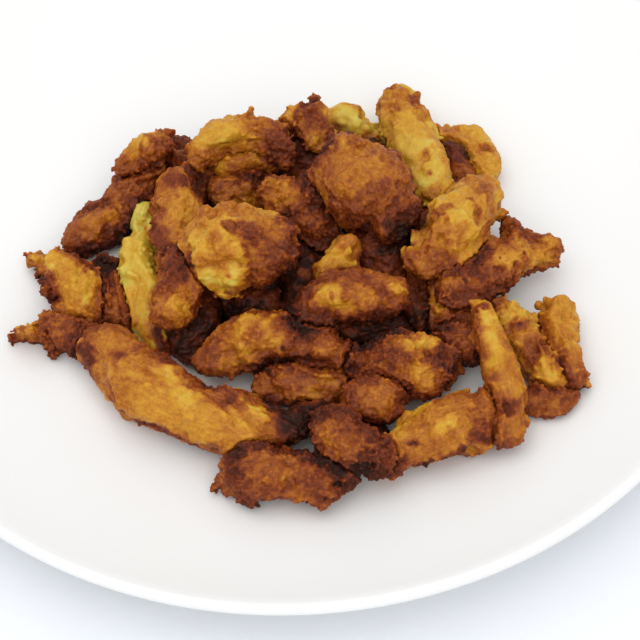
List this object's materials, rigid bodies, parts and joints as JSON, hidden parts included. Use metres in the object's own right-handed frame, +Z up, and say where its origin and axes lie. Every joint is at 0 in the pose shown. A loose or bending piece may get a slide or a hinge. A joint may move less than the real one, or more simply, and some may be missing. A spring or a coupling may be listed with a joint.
{
  "type": "fried plantain side",
  "caption": "Side dish of fried ripe plantain: caramelised, ragged pieces heaped in the middle of a plain white coupe plate.",
  "frame": {"origin": "centre of the plate's box at its lowest level, where the foot ring stands on the table", "axes": "+Z up from the table, -Y towards the side that the dish is seen from, +X to the right of that view"},
  "size_m": [0.27, 0.27, 0.0461],
  "materials": {
    "glaze": "gloss",
    "plantain_pale": "satin",
    "plantain_golden": "satin",
    "plantain_caramel": "satin",
    "plantain_browned": "satin",
    "plantain_dark": "satin"
  },
  "bodies": {
    "root": {"plate": "glaze", "plantain_centre_bridge": "plantain_caramel", "plantain_front_nub": "plantain_caramel", "plantain_centre_pitted": "plantain_browned", "plantain_right_nub": "plantain_browned", "plantain_front_saddle": "plantain_browned", "plantain_right_strip": "plantain_golden", "plantain_front_right": "plantain_golden", "plantain_front_long": "plantain_golden", "plantain_centre_bent": "plantain_golden", "plantain_front_inner": "plantain_caramel", "plantain_top_left": "plantain_golden", "plantain_centre_peak": "plantain_caramel", "plantain_top_right": "plantain_golden", "plantain_top_lump": "plantain_browned", "plantain_back_frilled": "plantain_pale", "plantain_centre_slant": "plantain_caramel", "plantain_back_curl": "plantain_golden", "plantain_back_inner": "plantain_caramel", "plantain_back_nub": "plantain_browned", "plantain_left_stub": "plantain_caramel", "plantain_left_upright": "plantain_caramel", "plantain_front_slab": "plantain_browned", "plantain_right_end": "plantain_golden", "plantain_right_olive": "plantain_pale", "plantain_right_under": "plantain_browned", "plantain_right_wedge": "plantain_browned", "plantain_right_inner": "plantain_caramel", "plantain_back_hook": "plantain_golden", "plantain_back_pale": "plantain_pale", "plantain_back_ridge": "plantain_browned", "plantain_left_pale": "plantain_pale", "plantain_left_crescent": "plantain_golden", "plantain_left_end": "plantain_browned", "plantain_left_back_tip": "plantain_caramel", "plantain_left_back": "plantain_browned", "plantain_left_under": "plantain_browned", "plantain_back_dark": "plantain_dark", "plantain_centre_under": "plantain_dark", "plantain_centre_hidden": "plantain_dark", "plantain_right_hidden": "plantain_dark", "plantain_left_hidden": "plantain_dark", "plantain_back_hidden": "plantain_dark", "plantain_back_low": "plantain_dark", "plantain_left_low": "plantain_dark", "plantain_centre_low": "plantain_dark", "plantain_front_low": "plantain_dark"}
  },
  "joints": []
}
